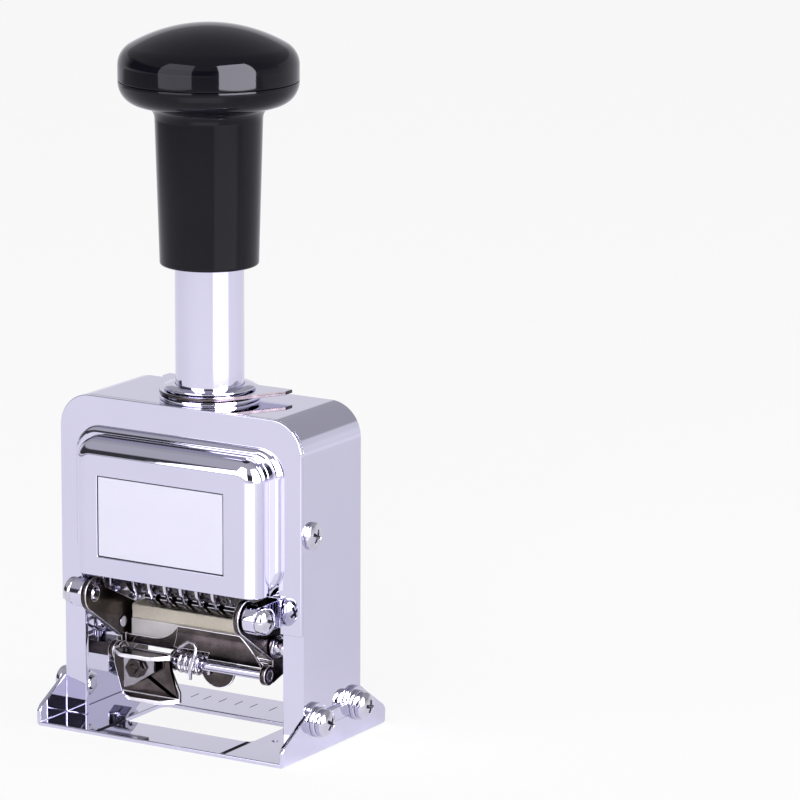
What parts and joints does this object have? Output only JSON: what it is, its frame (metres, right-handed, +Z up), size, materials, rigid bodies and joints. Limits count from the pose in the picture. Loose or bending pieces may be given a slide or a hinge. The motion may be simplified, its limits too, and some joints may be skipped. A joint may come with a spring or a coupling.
{
  "type": "numbering machine",
  "caption": "Hand numbering machine: chromed arch frame on a flanged base, knob plunger with sliding carriage, number wheels, and a swinging felt ink pad cradle.",
  "frame": {"origin": "on the table under the middle of the base", "axes": "+Z up along the plunger, -Y towards the front with the name card, +X to the right"},
  "size_m": [0.0702, 0.042, 0.1554],
  "materials": {
    "chrome": "bright chrome plate on pressed steel",
    "steel": "bright nickel-plated steel",
    "handle": "gloss black moulded plastic",
    "card": "smooth white card",
    "dark_nickel": "dark nickel-plated steel",
    "type_metal": "dark engraved steel",
    "fibre": "vulcanised fibre",
    "tray": "pale satin metal",
    "felt": "cream wool felt"
  },
  "bodies": {
    "root": {"base_plate": "chrome", "base_screws": "steel", "base_washers": "steel", "base_nuts": "steel", "outer_frame": "chrome", "front_cover": "chrome", "name_card": "card", "rear_cover": "chrome", "rear_screws": "steel", "side_screws": "steel", "pivot_brackets": "chrome", "pivot_screws": "steel", "guide_rods": "steel", "guide_feet": "dark_nickel", "return_springs": "steel", "collar": "chrome", "collar_nut": "steel", "lock_ring": "chrome"},
    "lock": {"lock_plate": "chrome"},
    "plunger": {"plunger_tube": "chrome", "handle_grip": "handle", "handle_cap": "handle", "handle_screw": "steel", "stop_washer": "fibre", "carriage_frame": "dark_nickel", "tube_nut": "steel", "cam_plates": "steel", "wheel_shaft": "steel", "shaft_spacers": "steel", "detent_comb": "steel", "dial_stud": "steel"},
    "pawls": {"pawl_frame": "dark_nickel", "drive_pawls": "steel"},
    "dial": {"repeat_dial": "steel"},
    "cradle": {"pad_frame": "dark_nickel", "pad_tray": "tray", "ink_pad": "felt", "roller_pins": "steel", "cross_rod": "chrome", "torsion_spring": "steel"},
    "roller_left": {"pad_roller_left": "steel"},
    "roller_right": {"pad_roller_right": "steel"},
    "lever": {"release_lever": "dark_nickel", "lever_nut": "dark_nickel"},
    "wheel_1": {"number_wheel_1": "type_metal"},
    "wheel_2": {"number_wheel_2": "type_metal"},
    "wheel_3": {"number_wheel_3": "type_metal"},
    "wheel_4": {"number_wheel_4": "type_metal"},
    "wheel_5": {"number_wheel_5": "type_metal"},
    "wheel_6": {"number_wheel_6": "type_metal"}
  },
  "joints": [
    {"name": "plunger_press", "type": "slide", "parent": "root", "child": "plunger", "axis": [0, 0, -1], "range_m": [0, 0.0252], "stiffness_N_per_m": 900, "springref_m": -0.012, "deforming": ["return_springs"]},
    {"name": "lock_slide", "type": "slide", "parent": "root", "child": "lock", "axis": [0, 1, 0], "range_m": [0, 0.0012]},
    {"name": "cradle_swing", "type": "hinge", "parent": "root", "child": "cradle", "pos_m": [0, -0.01672, 0.03065], "axis": [-1, 0, 0], "range_deg": [0, 100.8]},
    {"name": "pawl_swing", "type": "hinge", "parent": "plunger", "child": "pawls", "pos_m": [0, 0, 0.0345], "axis": [1, 0, 0], "range_deg": [0, 36]},
    {"name": "dial_turn", "type": "hinge", "parent": "plunger", "child": "dial", "pos_m": [-0.0169, 0.001, 0.052], "axis": [1, 0, 0], "range_deg": [0, 330]},
    {"name": "lever_press", "type": "hinge", "parent": "cradle", "child": "lever", "pos_m": [0, -0.00802, 0.01595], "axis": [1, 0, 0], "range_deg": [0, 15], "stiffness_Nm_per_rad": 0.15, "springref_deg": -8.59},
    {"name": "roller_left_spin", "type": "hinge", "parent": "cradle", "child": "roller_left", "pos_m": [0, -0.00632, 0.0222], "axis": [1, 0, 0], "continuous": true},
    {"name": "roller_right_spin", "type": "hinge", "parent": "cradle", "child": "roller_right", "pos_m": [0, -0.00632, 0.0222], "axis": [1, 0, 0], "continuous": true},
    {"name": "wheel_1_turn", "type": "hinge", "parent": "plunger", "child": "wheel_1", "pos_m": [0, 0, 0.0345], "axis": [1, 0, 0], "continuous": true},
    {"name": "wheel_2_turn", "type": "hinge", "parent": "plunger", "child": "wheel_2", "pos_m": [0, 0, 0.0345], "axis": [1, 0, 0], "continuous": true},
    {"name": "wheel_3_turn", "type": "hinge", "parent": "plunger", "child": "wheel_3", "pos_m": [0, 0, 0.0345], "axis": [1, 0, 0], "continuous": true},
    {"name": "wheel_4_turn", "type": "hinge", "parent": "plunger", "child": "wheel_4", "pos_m": [0, 0, 0.0345], "axis": [1, 0, 0], "continuous": true},
    {"name": "wheel_5_turn", "type": "hinge", "parent": "plunger", "child": "wheel_5", "pos_m": [0, 0, 0.0345], "axis": [1, 0, 0], "continuous": true},
    {"name": "wheel_6_turn", "type": "hinge", "parent": "plunger", "child": "wheel_6", "pos_m": [0, 0, 0.0345], "axis": [1, 0, 0], "continuous": true}
  ],
  "couplings": [
    {"joint": "cradle_swing", "follows": "plunger_press", "rad_per_m": 69.806},
    {"joint": "pawl_swing", "follows": "plunger_press", "rad_per_m": 24.931}
  ]
}
